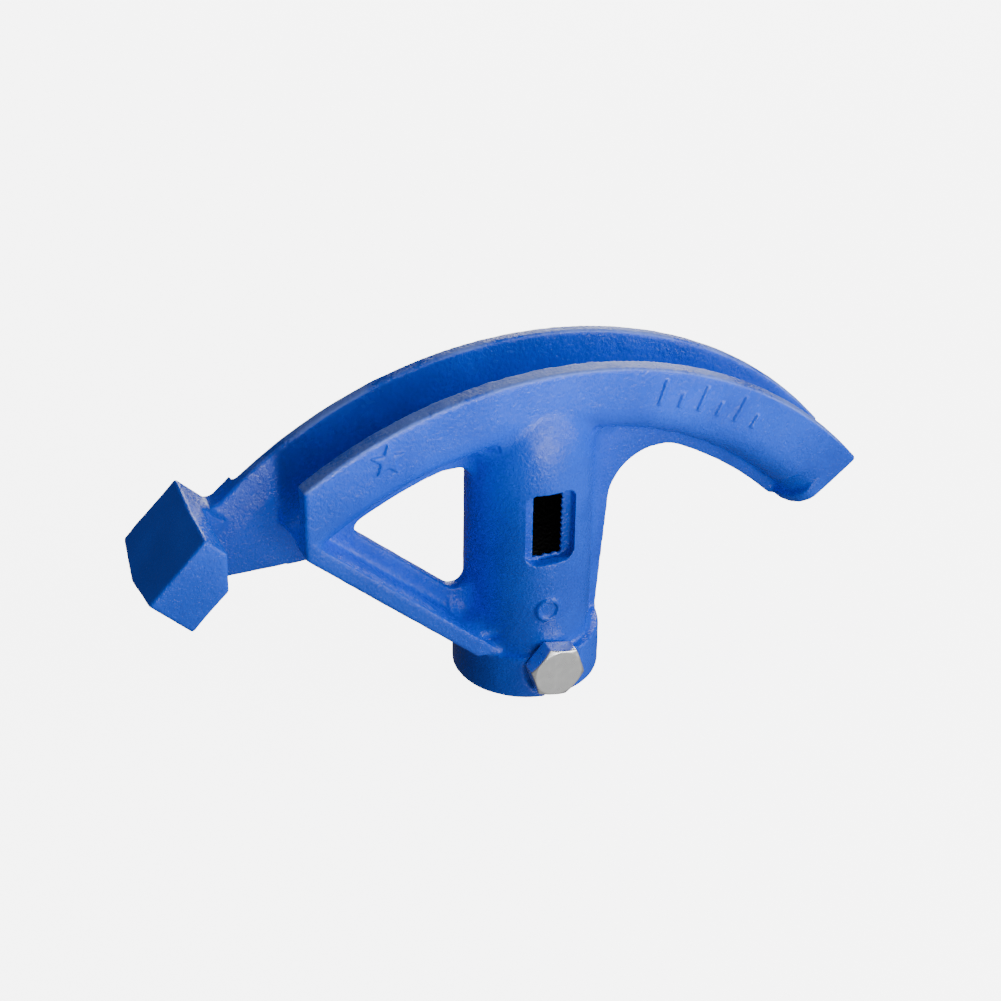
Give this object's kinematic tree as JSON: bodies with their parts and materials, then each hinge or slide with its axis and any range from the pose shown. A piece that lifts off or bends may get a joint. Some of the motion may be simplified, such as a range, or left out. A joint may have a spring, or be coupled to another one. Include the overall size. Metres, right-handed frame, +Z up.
{
  "type": "rebar bender head",
  "caption": "Cast head of a hand rebar bender: a grooved curved shoe with a hook, on a pipe socket with a clamp screw.",
  "frame": {"origin": "centre of the handle socket's mouth, on the collar's lower face", "axes": "+Z up the handle socket, +X towards the open end of the bending shoe, +Y to the back, on the side of the plate that holds the hook"},
  "size_m": [0.2461, 0.0524, 0.1162],
  "materials": {
    "blue_enamel": "semi-gloss",
    "zinc_plate": "satin"
  },
  "bodies": {
    "head": {"bender_head": "blue_enamel"},
    "screw": {"clamp_screw": "zinc_plate"}
  },
  "joints": [
    {"name": "clamp_screw_travel", "type": "slide", "parent": "head", "child": "screw", "axis": [0, -1, 0], "range_m": [0, 0.008]}
  ]
}
